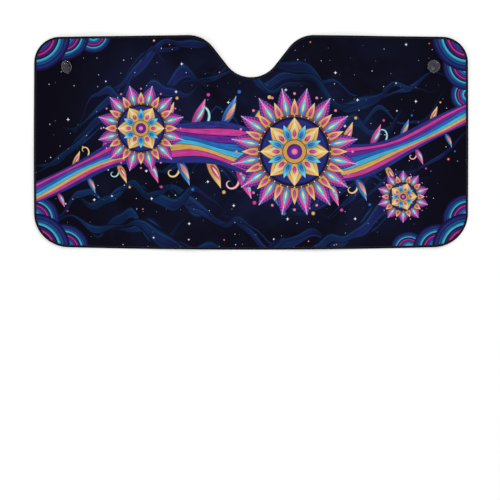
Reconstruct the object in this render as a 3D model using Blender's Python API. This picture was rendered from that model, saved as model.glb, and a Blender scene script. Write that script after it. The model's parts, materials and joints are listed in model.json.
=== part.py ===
"""Car windscreen sunshade.

A foam-filled sheet, printed on its face and foil on its back, with a tape bound round its edge, a notch
for the rear-view mirror and two suction cups that turn in punched holes. It lies face up on z = 0, with
+X along its width, +Y towards the notched edge and the origin on the floor under its middle.
"""

import math

import bmesh
import bpy
from mathutils import Matrix, Vector
from mathutils.geometry import delaunay_2d_cdt

# Outline, to the outside of the tape
SHADE_WIDTH = 1.400
SHADE_HEIGHT = 0.692
UPPER_CORNER_RADIUS = 0.082
LOWER_CORNER_RADIUS = 0.109
UPPER_EDGE_FALL = 0.007  # how much lower the upper corners are than the notch's shoulders
LOWER_EDGE_BOW = 0.011  # how much lower the middle of the lower edge is than its ends
SIDE_BOW = 0.002  # how far the ends of each side are drawn in
OUTLINE_STEP = 0.045
ARC_STEP = 0.022

# Notch for the rear-view mirror
NOTCH_DEPTH = 0.136
NOTCH_BOTTOM_RADIUS = 0.097
NOTCH_SHOULDER_RADIUS = 0.103
NOTCH_SLOPE = math.radians(52)

# Sheet, pinched under the tape and full beyond it
SHEET_THICKNESS = 0.0035
EDGE_THICKNESS = 0.0020
PUFF_WIDTH = 0.012
PUFF_CREASES = (0, 0.5, 1)
GRID_STEP = 0.040

# Tape folded round the edge
TAPE_WIDTH = 0.0075
TAPE_THICKNESS = 0.0008

# Gap between pieces that touch
FIT_GAP = 0.0003

# Ripples of the sewn edge, which die away towards the flat middle
RIPPLE_HEIGHT = 0.005
RIPPLE_LENGTH = 0.410
RIPPLE_SKEW = 0.900
RIPPLE_PHASE = 0.8
RIPPLE_REACH = 0.130

# Suction cups, each one moulding: a head behind the sheet, a neck through it and a bell before it
CUP_FROM_SIDE = 0.112
CUP_FROM_TOP = 0.102
BELL_RADIUS = 0.0203
BELL_DEPTH = 0.0105
CAVITY_DEPTH = 0.0072
RIM_LAND = 0.0015
RIM_THICKNESS = 0.0010
BELL_STEPS = 5
NECK_RADIUS = 0.0032
NECK_GAP = 0.0004
NECK_FREE_LENGTH = 0.0046
NECK_STEPS = 3
HEAD_RADIUS = 0.0070
HEAD_FOOT_RADIUS = 0.0045
HEAD_THICKNESS = 0.0022
TAB_LENGTH = 0.0034
TAB_STEPS = ((0.60, 0.35), (0.60, 0.65))  # width as a share of the last, reach as a share of the whole
LEFT_TAB_ANGLE = math.radians(-80)
RIGHT_TAB_ANGLE = math.radians(-90)
LEFT_CUP_LEANS_TO = math.radians(196)
CUP_LIFT_REACH = 0.140
CUP_SEGMENTS = 32
HOLE_SEGMENTS = 24

# Print: a river of bands from side to side, leaves and curls along it, rosettes on it, scallops in corners
RIVER_BANDS = ("indigo", "magenta", "gold", "cyan", "blue", "violet", "magenta", "indigo")
RIVER_WIDTH = 0.150
RIVER_NARROWEST = 0.45
RIVER_RISE = 0.190
RIVER_SWING = 0.075
RIVER_LENGTH = 1.200
RIVER_DROP = 0.035
RIVER_STEP = 0.050
WOBBLE_HEIGHT = 0.009
WOBBLE_LENGTH = 0.330
WOBBLE_TURN = 0.9
LEAF_INKS = (("magenta", "cyan"), ("gold", "magenta"), ("blue", "gold"))
LEAF_SPACING = 0.048
LEAF_LENGTH = 0.108
LEAF_WIDTH = 0.036
LEAF_SLANT = math.radians(52)
LEAF_CURL = 0.022
LEAF_ROOT_LEVEL = 0.42
INLAY_FROM = 0.20
INLAY_LENGTH = 0.62
INLAY_WIDTH = 0.50
DROP_RADIUS = 0.0065
DROP_GAP = 0.016
DROP_SIDES = 8
ROSETTE_LAYERS = (
    # ink, petals as a share of the count (0 is a disc), turn, inner and outer radius, width in spacings
    ("violet", 1.0, 0.5, 0.42, 1.00, 0.74),
    ("magenta", 1.0, 0.5, 0.48, 0.93, 0.50),
    ("cyan", 1.0, 0.5, 0.56, 0.84, 0.26),
    ("gold", 1.0, 0.0, 0.46, 0.82, 0.34),
    ("gold", 0.0, 0.0, 0.00, 0.57, 0.00),
    ("indigo", 0.0, 0.0, 0.00, 0.54, 0.00),
    ("gold", 0.5, 0.0, 0.12, 0.53, 0.74),
    ("pale_gold", 0.5, 0.0, 0.16, 0.47, 0.42),
    ("cyan", 0.5, 0.5, 0.18, 0.44, 0.30),
    ("gold", 0.0, 0.0, 0.00, 0.19, 0.00),
    ("violet", 0.0, 0.0, 0.00, 0.12, 0.00),
)
ROSETTES = ((0.140, -0.030, 0.208, 16), (-0.355, 0.045, 0.142, 12), (0.490, -0.175, 0.084, 10))
CURL_INKS = ("gold", "cyan", "pink")
CURL_SPACING = 0.096
CURL_LENGTH = 0.120
CURL_WIDTH = 0.010
CURL_SLANT = math.radians(66)
CURL_TURN = math.radians(330)
CURL_TURN_POWER = 1.6  # how late along a curl its turn comes
CURL_TAPER_POWER = 0.6
CURL_FIRST_STRIDE = 1.5  # its first step's length; its last falls as far short of 1
CURL_STEPS = 9
SCALLOP_INKS = ("indigo", "blue", "cyan")
SCALLOP_RADIUS = 0.118
SCALLOP_SPACING = 0.096
SCALLOP_TAPER = 0.70
SCALLOP_SIDES = 18
SCALLOP_CORNERS = ((-1, 1, 2, 0), (1, -1, 2, 1), (-1, -1, 1, 1), (1, 1, 0, 2))
STAR_COUNT = 34
STAR_RADIUS = 0.0055
STAR_WAIST_SHARE = 0.35
STAR_FIELD = (0.46, 0.44)  # half the stars' field, as shares of the shade's width and height
STAR_SPIRAL = 2.39996  # the golden angle, in radians

INKS = {
    "midnight": (0.0045, 0.0037, 0.0110),
    "indigo": (0.0210, 0.0260, 0.1700),
    "blue": (0.0180, 0.1200, 0.4800),
    "cyan": (0.0500, 0.4600, 0.7400),
    "violet": (0.1100, 0.0200, 0.2700),
    "magenta": (0.6200, 0.0450, 0.3000),
    "pink": (0.8000, 0.1800, 0.4200),
    "gold": (0.7900, 0.4500, 0.1100),
    "pale_gold": (0.8700, 0.6200, 0.2200),
    "star_white": (0.8500, 0.8500, 0.9000),
}


def smooth(share):
    """0 to 1 with level ends, for a share that may run past either."""
    share = min(max(share, 0.0), 1.0)
    return share * share * (3 - 2 * share)


def arc(centre, radius, start, end):
    """Points along an arc, both ends included."""
    steps = max(2, math.ceil(radius * abs(end - start) / ARC_STEP))
    turns = [start + (end - start) * i / steps for i in range(steps + 1)]
    return [(centre[0] + radius * math.cos(a), centre[1] + radius * math.sin(a)) for a in turns]


def between(start, end):
    """Evenly spaced points of a straight stretch, neither end included."""
    steps = max(1, math.ceil(math.dist(start, end) / OUTLINE_STEP))
    shares = [i / steps for i in range(1, steps)]
    return [(start[0] + (end[0] - start[0]) * s, start[1] + (end[1] - start[1]) * s) for s in shares]


def notch_half_width():
    """Half the notch's width at the upper edge, where its shoulders begin."""
    radii = NOTCH_BOTTOM_RADIUS + NOTCH_SHOULDER_RADIUS
    flank = (NOTCH_DEPTH - radii * (1 - math.cos(NOTCH_SLOPE))) / math.sin(NOTCH_SLOPE)
    return radii * math.sin(NOTCH_SLOPE) + flank * math.cos(NOTCH_SLOPE)


def bowed(x, y):
    """Where an outline point lies once sewing has drawn the corners in."""
    across = x / (SHADE_WIDTH / 2)
    up = y / (SHADE_HEIGHT / 2)
    shoulder = notch_half_width()
    past_notch = max(abs(x) - shoulder, 0) / (SHADE_WIDTH / 2 - shoulder)
    fall = UPPER_EDGE_FALL * max(up, 0) * past_notch
    rise = LOWER_EDGE_BOW * max(-up, 0) * across**2
    return x - SIDE_BOW * across * up**2, y - fall + rise


def outline():
    """The closed outside edge of the tape, counter-clockwise from the lower right corner."""
    right, top = SHADE_WIDTH / 2, SHADE_HEIGHT / 2
    low, high, shoulder = LOWER_CORNER_RADIUS, UPPER_CORNER_RADIUS, NOTCH_SHOULDER_RADIUS
    notch_side = notch_half_width()
    notch_floor = top - NOTCH_DEPTH + NOTCH_BOTTOM_RADIUS
    quarter = math.pi / 2
    arcs = [
        arc((right - low, low - top), low, -quarter, 0),
        arc((right - high, top - high), high, 0, quarter),
        arc((notch_side, top - shoulder), shoulder, quarter, quarter + NOTCH_SLOPE),
        arc((0, notch_floor), NOTCH_BOTTOM_RADIUS, NOTCH_SLOPE - quarter, -NOTCH_SLOPE - quarter),
        arc((-notch_side, top - shoulder), shoulder, quarter - NOTCH_SLOPE, quarter),
        arc((high - right, top - high), high, quarter, 2 * quarter),
        arc((low - right, low - top), low, 2 * quarter, 3 * quarter),
    ]
    points = []
    for curve, following in zip(arcs, arcs[1:] + arcs[:1]):
        points += curve + between(curve[-1], following[0])
    return [bowed(x, y) for x, y in points]


def inset(line, distance):
    """A closed counter-clockwise line, moved in by a distance."""
    moved = []
    for i, (x, y) in enumerate(line):
        along = Vector(line[(i + 1) % len(line)]) - Vector(line[i - 1])
        along.normalize()
        moved.append((x - along.y * distance, y + along.x * distance))
    return moved


def distance_in(line, x, y):
    """Distance from a point to the nearest place on a closed line."""
    nearest = math.inf
    for (ax, ay), (bx, by) in zip(line, line[1:] + line[:1]):
        dx, dy = bx - ax, by - ay
        share = ((x - ax) * dx + (y - ay) * dy) / (dx * dx + dy * dy)
        share = min(max(share, 0.0), 1.0)
        nearest = min(nearest, math.hypot(x - ax - dx * share, y - ay - dy * share))
    return nearest


def cup_places():
    """Where the two cups' holes are, left and right."""
    x = SHADE_WIDTH / 2 - CUP_FROM_SIDE
    y = SHADE_HEIGHT / 2 - CUP_FROM_TOP
    return (-x, y), (x, y)


def lift(x, y):
    """Height to which ripples and the cups' heads raise the sheet off the floor."""
    wave = 0.5 + 0.5 * math.sin(math.tau * (x / RIPPLE_LENGTH + y / RIPPLE_SKEW) + RIPPLE_PHASE)
    near_side = smooth(1 - (SHADE_WIDTH / 2 - abs(x)) / RIPPLE_REACH)
    near_end = smooth(1 - (SHADE_HEIGHT / 2 - abs(y)) / RIPPLE_REACH)
    height = RIPPLE_HEIGHT * wave**2 * (1 - (1 - near_side) * (1 - near_end))
    level = BELL_RADIUS + BELL_DEPTH + TAB_LENGTH
    for cup_x, cup_y in cup_places():
        away = math.hypot(x - cup_x, y - cup_y)
        near_cup = 1 - smooth((away - level) / (CUP_LIFT_REACH - level))
        height += (HEAD_THICKNESS + FIT_GAP - height) * near_cup
    return height


def tape_half_height():
    """Half the height of the folded tape, from the middle of the sheet's pinched edge."""
    return EDGE_THICKNESS / 2 + FIT_GAP + TAPE_THICKNESS


def sheet_heights(x, y, distance):
    """Heights of the sheet's underside and face, at that distance in from the outline."""
    full = smooth((distance - TAPE_WIDTH - FIT_GAP) / PUFF_WIDTH)
    thickness = EDGE_THICKNESS + (SHEET_THICKNESS - EDGE_THICKNESS) * full
    middle = tape_half_height() + (SHEET_THICKNESS / 2 - tape_half_height()) * full
    base = lift(x, y) + middle
    return base - thickness / 2, base + thickness / 2


def disc(x, y, radius, sides):
    """A regular polygon, counter-clockwise."""
    turns = [math.tau * i / sides for i in range(sides)]
    return [(x + radius * math.cos(a), y + radius * math.sin(a)) for a in turns]


def blade(x, y, angle, length, width, curl=0.0, fullness=0.8, steps=4):
    """A petal or leaf that grows out from a point; curl bends its tip to the left."""
    side = []
    for i in range(1, steps):
        share = i / steps
        side.append((share, width / 2 * math.sin(math.pi * share**fullness)))
    shape = [(0, 0), *[(s, -w) for s, w in side], (1, 0), *[(s, w) for s, w in reversed(side)]]
    cos, sin = math.cos(angle), math.sin(angle)
    points = []
    for share, across in shape:
        along = length * share
        across += curl * share**2
        points.append((x + along * cos - across * sin, y + along * sin + across * cos))
    return points


def petals(ink, centre, count, turn, inner, outer, width):
    """A round of petals about a centre; turn is in petal spacings."""
    shapes = []
    for i in range(count):
        angle = math.tau * (i + turn) / count
        x = centre[0] + inner * math.cos(angle)
        y = centre[1] + inner * math.sin(angle)
        shapes.append((ink, blade(x, y, angle, outer - inner, width)))
    return shapes


def rosette(x, y, radius, count):
    """A flower of ringed petals, in the order in which the inks go down."""
    spacing = math.tau * radius / count
    shapes = []
    for ink, share, turn, inner, outer, width in ROSETTE_LAYERS:
        if share:
            number = round(count * share)
            shapes += petals(ink, (x, y), number, turn, inner * radius, outer * radius, width * spacing)
        else:
            shapes.append((ink, disc(x, y, outer * radius, 2 * count)))
    return shapes


def river_middle(x):
    """Height of the river's middle line at x."""
    swing = RIVER_SWING * math.sin(math.tau * x / RIVER_LENGTH)
    return RIVER_RISE * x / SHADE_WIDTH - RIVER_DROP - swing


def river_share(x):
    """The river's width at x, as a share of its full width."""
    taper = math.cos(math.pi * x / SHADE_WIDTH) ** 2
    return RIVER_NARROWEST + (1 - RIVER_NARROWEST) * taper


def river_line(x, level):
    """Height of the river's level line at x; level runs from -0.5 at its foot to 0.5 at its top."""
    wobble = WOBBLE_HEIGHT * math.sin(math.tau * (x / WOBBLE_LENGTH + level * WOBBLE_TURN))
    return river_middle(x) + river_share(x) * (level * RIVER_WIDTH + wobble)


def river():
    """Bands that flow side by side, lowest first."""
    steps = math.ceil(SHADE_WIDTH / RIVER_STEP)
    places = [SHADE_WIDTH * (i / steps - 0.5) for i in range(steps + 1)]
    shapes = []
    for band, ink in enumerate(RIVER_BANDS):
        foot = band / len(RIVER_BANDS) - 0.5
        top = (band + 1) / len(RIVER_BANDS) - 0.5
        lower = [(x, river_line(x, foot)) for x in places]
        upper = [(x, river_line(x, top)) for x in places]
        shapes.append((ink, lower + upper[::-1]))
    return shapes


def leaves():
    """Inlaid leaves that grow from both banks of the river in turn, each with a drop past its tip."""
    shapes = []
    count = math.floor(SHADE_WIDTH / LEAF_SPACING) - 2
    for i in range(count):
        bank = 1 if i % 2 else -1
        x = (i - (count - 1) / 2) * LEAF_SPACING
        y = river_line(x, LEAF_ROOT_LEVEL * bank)
        share = river_share(x)
        length, width, curl = LEAF_LENGTH * share, LEAF_WIDTH * share, LEAF_CURL * share * bank
        angle = bank * LEAF_SLANT
        cos, sin = math.cos(angle), math.sin(angle)
        outer, inlay = LEAF_INKS[i % len(LEAF_INKS)]
        shapes.append((outer, blade(x, y, angle, length, width, curl)))
        from_x, from_y = x + INLAY_FROM * length * cos, y + INLAY_FROM * length * sin
        inner_length, inner_width = length * INLAY_LENGTH, width * INLAY_WIDTH
        inner_curl = curl * INLAY_LENGTH**2
        shapes.append((inlay, blade(from_x, from_y, angle, inner_length, inner_width, inner_curl)))
        reach = length + DROP_GAP
        drop_x = x + reach * cos - curl * sin
        drop_y = y + reach * sin + curl * cos
        shapes.append((outer, disc(drop_x, drop_y, DROP_RADIUS * share, DROP_SIDES)))
    return shapes


def curls():
    """Tapering tendrils that roll up on themselves, along both banks of the river."""
    shapes = []
    count = math.floor(SHADE_WIDTH / CURL_SPACING) - 2
    for i in range(count):
        bank = -1 if i % 2 else 1
        x = (i - (count - 1) / 2) * CURL_SPACING
        y = river_line(x, LEAF_ROOT_LEVEL * bank)
        step = CURL_LENGTH * river_share(x) / CURL_STEPS
        left, right = [], []
        for j in range(CURL_STEPS + 1):
            share = j / CURL_STEPS
            heading = bank * (CURL_SLANT + CURL_TURN * share**CURL_TURN_POWER)
            across = CURL_WIDTH / 2 * river_share(x) * (1 - share) ** CURL_TAPER_POWER
            left.append((x - across * math.sin(heading), y + across * math.cos(heading)))
            right.append((x + across * math.sin(heading), y - across * math.cos(heading)))
            stride = step * (CURL_FIRST_STRIDE - share)
            x += stride * math.cos(heading)
            y += stride * math.sin(heading)
        shapes.append((CURL_INKS[i % len(CURL_INKS)], right + left[-2::-1]))
    return shapes


def scallops():
    """Nested discs along the outline from the corners, each row growing smaller away from its corner."""
    shapes = []
    for side, end, along, up in SCALLOP_CORNERS:
        places = [(i, 0) for i in range(along, 0, -1)] + [(0, i) for i in range(up, 0, -1)] + [(0, 0)]
        for column, row in places:
            x = side * (SHADE_WIDTH / 2 - column * SCALLOP_SPACING)
            y = end * (SHADE_HEIGHT / 2 - row * SCALLOP_SPACING)
            radius = SCALLOP_RADIUS * SCALLOP_TAPER ** (column + row)
            for i, ink in enumerate(SCALLOP_INKS):
                share = 1 - i / len(SCALLOP_INKS)
                shapes.append((ink, disc(x, y, radius * share, SCALLOP_SIDES)))
    return shapes


def stars():
    """Four-pointed stars, scattered along a spiral of even density."""
    shapes = []
    for i in range(STAR_COUNT):
        away = math.sqrt((i + 0.5) / STAR_COUNT)
        x = STAR_FIELD[0] * SHADE_WIDTH * away * math.cos(i * STAR_SPIRAL)
        y = STAR_FIELD[1] * SHADE_HEIGHT * away * math.sin(i * STAR_SPIRAL)
        points = []
        for corner in range(8):
            reach = STAR_RADIUS * (STAR_WAIST_SHARE if corner % 2 else 1)
            turn = corner * math.pi / 4
            points.append((x + reach * math.cos(turn), y + reach * math.sin(turn)))
        shapes.append(("star_white", points))
    return shapes


def artwork():
    """Every printed shape as (ink, closed outline), lowest first."""
    shapes = stars() + scallops() + curls() + leaves() + river()
    for x, y, radius, count in ROSETTES:
        shapes += rosette(x, y, radius, count)
    return shapes


def grid(edge):
    """Points that let the sheet bend, clear of its edge and of its holes."""
    points = []
    columns = math.ceil(SHADE_WIDTH / 2 / GRID_STEP)
    rows = math.ceil(SHADE_HEIGHT / 2 / GRID_STEP)
    polygon = [Vector(p) for p in edge]
    for column in range(-columns, columns + 1):
        for row in range(-rows, rows + 1):
            x, y = column * GRID_STEP, row * GRID_STEP
            at_cup = any(math.hypot(x - cx, y - cy) < GRID_STEP / 2 for cx, cy in cup_places())
            if inside(polygon, x, y) and not at_cup and distance_in(edge, x, y) > GRID_STEP / 3:
                points.append((x, y))
    return points


def inside(polygon, x, y):
    """Whether a point is inside a closed line."""
    crossings = 0
    for (ax, ay), (bx, by) in zip(polygon, polygon[1:] + polygon[:1]):
        if (ay > y) != (by > y) and x < ax + (bx - ax) * (y - ay) / (by - ay):
            crossings += 1
    return crossings % 2 == 1


def plan(outside):
    """The sheet seen from above as (points, triangles, ink of each), cut along the print's lines."""
    edge = inset(outside, TAPE_THICKNESS + FIT_GAP)
    creases = [inset(outside, TAPE_WIDTH + FIT_GAP + PUFF_WIDTH * share) for share in PUFF_CREASES]
    holes = [disc(x, y, NECK_RADIUS + NECK_GAP, HOLE_SEGMENTS) for x, y in cup_places()]
    shapes = artwork()
    points, lines, areas = [], [], []
    for closed in [edge, *holes, *[shape for _, shape in shapes]]:
        areas.append(list(range(len(points), len(points) + len(closed))))
        points += closed
    for crease in creases:
        run = list(range(len(points), len(points) + len(crease)))
        lines += zip(run, run[1:] + run[:1])
        points += crease
    points += grid(creases[-1])
    laid = delaunay_2d_cdt([Vector(p) for p in points], lines, areas, 1, 1e-6)
    triangles, inks = [], []
    first_shape = 1 + len(holes)
    for corners, owners in zip(laid[2], laid[5]):
        if 0 not in owners or any(0 < owner < first_shape for owner in owners):
            continue
        top = max(owners)
        triangles.append(corners)
        inks.append(shapes[top - first_shape][0] if top >= first_shape else "midnight")
    return laid[0], triangles, inks


def add_object(name, mesh, materials):
    """Turns a bmesh into an object in the scene."""
    data = bpy.data.meshes.new(name)
    mesh.to_mesh(data)
    mesh.free()
    for material in materials:
        data.materials.append(material)
    piece = bpy.data.objects.new(name, data)
    bpy.context.scene.collection.objects.link(piece)
    return piece


def material(name, colour, roughness, metallic=0.0):
    """A plain surface of one colour."""
    made = bpy.data.materials.new(name)
    made.use_nodes = True
    shader = made.node_tree.nodes["Principled BSDF"]
    shader.inputs["Base Color"].default_value = (*colour, 1)
    shader.inputs["Roughness"].default_value = roughness
    shader.inputs["Metallic"].default_value = metallic
    return made


def make_sheet(outside):
    """The foam-filled sheet: foil behind, print before, with the holes for the cups' necks."""
    names = list(INKS)
    places, triangles, inks = plan(outside)
    mesh = bmesh.new()
    low, high = {}, {}
    for i in {corner for triangle in triangles for corner in triangle}:
        x, y = places[i]
        below, above = sheet_heights(x, y, distance_in(outside, x, y))
        low[i] = mesh.verts.new((x, y, below))
        high[i] = mesh.verts.new((x, y, above))
    sides = {(a, b) for t in triangles for a, b in zip(t, t[1:] + t[:1])}
    for triangle, ink in zip(triangles, inks):
        face = mesh.faces.new([high[i] for i in triangle])
        face.material_index = 1 + names.index(ink)
        mesh.faces.new([low[i] for i in reversed(triangle)])
    for a, b in sides:
        if (b, a) not in sides:
            mesh.faces.new([high[a], low[a], low[b], high[b]])
    foil = material("foil", (0.78, 0.79, 0.80), 0.28, 0.9)
    return add_object("shade_sheet", mesh, [foil, *[material(n, INKS[n], 0.75) for n in names]])


def tape_section():
    """The folded tape's section as (distance in from the outline, height), counter-clockwise."""
    half = tape_half_height()
    inner = half - TAPE_THICKNESS
    turns = [math.radians(a) for a in (-90, -45, 0, 45, 90)]
    fold = [(half - half * math.cos(a), half * math.sin(a)) for a in turns]
    legs = [(TAPE_WIDTH, half), (TAPE_WIDTH, inner), (TAPE_THICKNESS, inner)]
    return [*fold, *legs, *[(d, -h) for d, h in reversed(legs)]]


def make_tape(outside):
    """The tape, folded over the sheet's edge all the way round."""
    mesh = bmesh.new()
    runs = []
    for distance, height in tape_section():
        line = inset(outside, distance)
        runs.append([mesh.verts.new((x, y, lift(x, y) + tape_half_height() + height)) for x, y in line])
    for run, beside in zip(runs, runs[1:] + runs[:1]):
        for i in range(len(run)):
            following = (i + 1) % len(run)
            mesh.faces.new([run[i], run[following], beside[following], beside[i]])
    return add_object("edge_binding", mesh, [material("tape", (0.004, 0.004, 0.006), 0.8)])


def cap(radius, depth, height, steps, start=0.0):
    """Profile points of a spherical cap, from a start radius out to its rim."""
    sphere = (radius**2 + depth**2) / (2 * depth)
    radii = [start + (radius - start) * i / steps for i in range(steps + 1)]
    return [(r, height + sphere - math.sqrt(sphere**2 - r**2)) for r in radii]


def cup_profile():
    """Half section of a cup, as (radius, height), from its foot up to the middle of its hollow."""
    crown = HEAD_THICKNESS + 2 * FIT_GAP + SHEET_THICKNESS + NECK_FREE_LENGTH
    rounding = HEAD_THICKNESS / 4
    head = [
        (0, 0),
        (HEAD_FOOT_RADIUS, 0),
        (HEAD_RADIUS - rounding, rounding),
        (HEAD_RADIUS, 2 * rounding),
        (HEAD_RADIUS - rounding, HEAD_THICKNESS),
    ]
    through = HEAD_THICKNESS + 2 * FIT_GAP + SHEET_THICKNESS
    neck = [(NECK_RADIUS, HEAD_THICKNESS), (NECK_RADIUS, through)]
    neck += [(NECK_RADIUS, through + NECK_FREE_LENGTH * i / NECK_STEPS) for i in range(1, NECK_STEPS)]
    back = cap(BELL_RADIUS, BELL_DEPTH - RIM_THICKNESS, crown, BELL_STEPS, NECK_RADIUS)
    hollow = cap(BELL_RADIUS - RIM_LAND, CAVITY_DEPTH, crown + BELL_DEPTH - CAVITY_DEPTH, BELL_STEPS)
    return head + neck + back + [(BELL_RADIUS, crown + BELL_DEPTH)] + hollow[::-1]


def lean_angle():
    """How far a cup tips over before the back of its bell rests on the sheet, a fit gap above it."""
    half_neck = NECK_FREE_LENGTH / 2
    belly = (BELL_RADIUS**2 + (BELL_DEPTH - RIM_THICKNESS) ** 2) / (2 * (BELL_DEPTH - RIM_THICKNESS))
    arm = BELL_DEPTH - RIM_THICKNESS + half_neck
    on_belly = math.acos((belly - half_neck) / (belly + half_neck))
    on_rim = math.atan2(arm, BELL_RADIUS) + math.asin(half_neck / math.hypot(arm, BELL_RADIUS))
    return min(on_belly, on_rim)


def tip_over(mesh, towards):
    """Bends a cup's free neck, so that its bell leans over."""
    bend_from = HEAD_THICKNESS + 2 * FIT_GAP + SHEET_THICKNESS
    pivot = Vector((0, 0, bend_from + NECK_FREE_LENGTH / 2))
    axis = Vector((-math.sin(towards), math.cos(towards), 0))
    for vertex in mesh.verts:
        share = min(max((vertex.co.z - bend_from) / NECK_FREE_LENGTH, 0), 1)
        turn = Matrix.Rotation(lean_angle() * share, 3, axis)
        vertex.co = pivot + turn @ (vertex.co - pivot)


def pull_tab(mesh, angle):
    """Draws two faces of the rim's edge out into a tab for a fingernail."""
    towards = Vector((math.cos(angle), math.sin(angle), 0))
    half_turn = math.pi / CUP_SEGMENTS
    rim = [f for f in mesh.faces if math.hypot(*f.calc_center_median().xy) > BELL_RADIUS * 0.99]
    rim = [f for f in rim if f.normal.dot(towards) > math.cos(1.5 * half_turn)]
    root = sum((f.calc_center_median() for f in rim), Vector()) / len(rim)
    for share, length in TAB_STEPS:
        grown = bmesh.ops.extrude_face_region(mesh, geom=rim)["geom"]
        bmesh.ops.delete(mesh, geom=rim, context="FACES_ONLY")
        rim = [part for part in grown if isinstance(part, bmesh.types.BMFace)]
        for vertex in {v for face in rim for v in face.verts}:
            vertex.co += towards * TAB_LENGTH * length
            across = vertex.co - root
            across -= towards * across.dot(towards)
            across.z = 0
            vertex.co -= across * (1 - share)


def make_cup(name, place, tab_angle, leans_to=None):
    """A suction cup, turned about its neck, with a tab on its rim."""
    mesh = bmesh.new()
    profile = [mesh.verts.new((radius, 0, height)) for radius, height in cup_profile()]
    edges = [mesh.edges.new(pair) for pair in zip(profile, profile[1:])]
    bmesh.ops.spin(
        mesh,
        geom=profile + edges,
        cent=(0, 0, 0),
        axis=(0, 0, 1),
        angle=math.tau,
        steps=CUP_SEGMENTS,
    )
    bmesh.ops.remove_doubles(mesh, verts=mesh.verts, dist=1e-6)
    bmesh.ops.rotate(mesh, verts=mesh.verts, matrix=Matrix.Rotation(tab_angle, 3, "Z"))
    bmesh.ops.recalc_face_normals(mesh, faces=mesh.faces)
    pull_tab(mesh, tab_angle)
    if leans_to is not None:
        tip_over(mesh, leans_to)
    bmesh.ops.recalc_face_normals(mesh, faces=mesh.faces)
    cup = add_object(name, mesh, [material("clear_vinyl", (0.30, 0.30, 0.31), 0.25)])
    cup.location = (*place, 0)
    return cup


def main():
    """Clears the scene and builds the sunshade in it."""
    for old in list(bpy.data.objects):
        bpy.data.objects.remove(old)
    outside = outline()
    make_sheet(outside)
    make_tape(outside)
    left, right = cup_places()
    make_cup("suction_cup_left", left, LEFT_TAB_ANGLE, LEFT_CUP_LEANS_TO)
    make_cup("suction_cup_right", right, RIGHT_TAB_ANGLE)
    for piece in bpy.context.scene.objects:
        piece.data.shade_smooth()
        piece.data.set_sharp_from_angle(angle=math.radians(40))


main()
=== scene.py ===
"""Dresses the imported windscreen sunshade: printed sheet, sewn tape binding and clear suction cups.

Everything is in metres in the frame of the CAD model: the shade lies face up on the floor, z = 0, with its
mirror notch towards +Y. Sizes with the names that the model's own source uses repeat its values.
"""

import json
import math
from functools import partialmethod

import bmesh
import bpy
import numpy as np
from mathutils import Matrix, Vector
from mathutils.geometry import delaunay_2d_cdt


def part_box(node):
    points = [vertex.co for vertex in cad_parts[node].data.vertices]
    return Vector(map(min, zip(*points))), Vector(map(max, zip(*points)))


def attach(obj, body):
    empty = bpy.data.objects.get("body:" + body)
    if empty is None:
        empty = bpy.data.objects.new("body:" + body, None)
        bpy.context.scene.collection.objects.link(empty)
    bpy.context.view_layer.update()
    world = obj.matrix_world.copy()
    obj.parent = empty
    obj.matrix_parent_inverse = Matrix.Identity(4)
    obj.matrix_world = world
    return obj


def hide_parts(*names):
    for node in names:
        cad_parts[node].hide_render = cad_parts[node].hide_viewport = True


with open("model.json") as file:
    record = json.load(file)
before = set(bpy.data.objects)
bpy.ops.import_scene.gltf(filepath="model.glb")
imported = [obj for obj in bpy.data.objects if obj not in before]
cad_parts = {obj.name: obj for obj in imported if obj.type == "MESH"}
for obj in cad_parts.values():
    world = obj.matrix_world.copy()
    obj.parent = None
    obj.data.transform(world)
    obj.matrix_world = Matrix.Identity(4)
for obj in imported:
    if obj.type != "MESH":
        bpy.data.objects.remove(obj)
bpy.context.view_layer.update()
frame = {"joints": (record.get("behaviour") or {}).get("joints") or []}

TAPE_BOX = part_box("edge_binding")

# Outline, to the outside of the tape
SHADE_WIDTH = TAPE_BOX[1][0] - TAPE_BOX[0][0]
SHADE_HEIGHT = TAPE_BOX[1][1] - TAPE_BOX[0][1]
UPPER_CORNER_RADIUS = 0.082
LOWER_CORNER_RADIUS = 0.109
UPPER_EDGE_FALL = 0.007
LOWER_EDGE_BOW = 0.011
SIDE_BOW = 0.002
OUTLINE_STEP = 0.008
ARC_STEP = 0.004

# Notch for the rear-view mirror
NOTCH_DEPTH = 0.136
NOTCH_BOTTOM_RADIUS = 0.097
NOTCH_SHOULDER_RADIUS = 0.103
NOTCH_SLOPE = math.radians(52)

# Sheet, pinched under the tape and full beyond it
SHEET_THICKNESS = 0.0035
EDGE_THICKNESS = 0.0020
PUFF_WIDTH = 0.012
PUFF_CREASES = (0, 0.12, 0.25, 0.38, 0.5, 0.62, 0.75, 0.88, 1)
GRID_STEP = 0.012

# Tape folded round the edge, and the thread that holds it
TAPE_WIDTH = 0.0075
TAPE_THICKNESS = 0.0008
TAPE_FOLD_TURNS = [math.radians(turn) for turn in range(-90, 91, 18)]
TAPE_CREASES = (0.25, 0.5, 0.65, 0.77, 0.9, 0.97)  # shares of the way to its free edge
TAPE_EDGE_BEVEL = 0.35  # share of its thickness
TAPE_RIB_PITCH = 0.00115
TAPE_YARN_PITCH = 0.0009
THREAD_FROM_EDGE = 0.0058
THREAD_RADIUS = 0.00022
STITCH_LENGTH = 0.0042
STITCH_GAP = 0.0010
STITCH_PITCH = STITCH_LENGTH + STITCH_GAP
STITCH_SINK = 0.00022
STITCH_PINCH_WIDTH = 0.0016
STITCH_ROWS = (("face_stitches", 1), ("back_stitches", -1))
STITCH_RINGS = (-1.0, -0.8, -0.4, 0.0, 0.4, 0.8, 1.0)  # along half a stitch each way
STITCH_BED = 1.6  # depth of the thread in the tape, in stitch sinks
STITCH_DIVE = 1.8  # how far its ends go down, in thread radii
THREAD_SIDES = 6
THREAD_END_SHARE = 0.55

FIT_GAP = 0.0003
TAPE_HALF_HEIGHT = EDGE_THICKNESS / 2 + FIT_GAP + TAPE_THICKNESS
SHARP_EDGE = math.radians(50)

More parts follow.
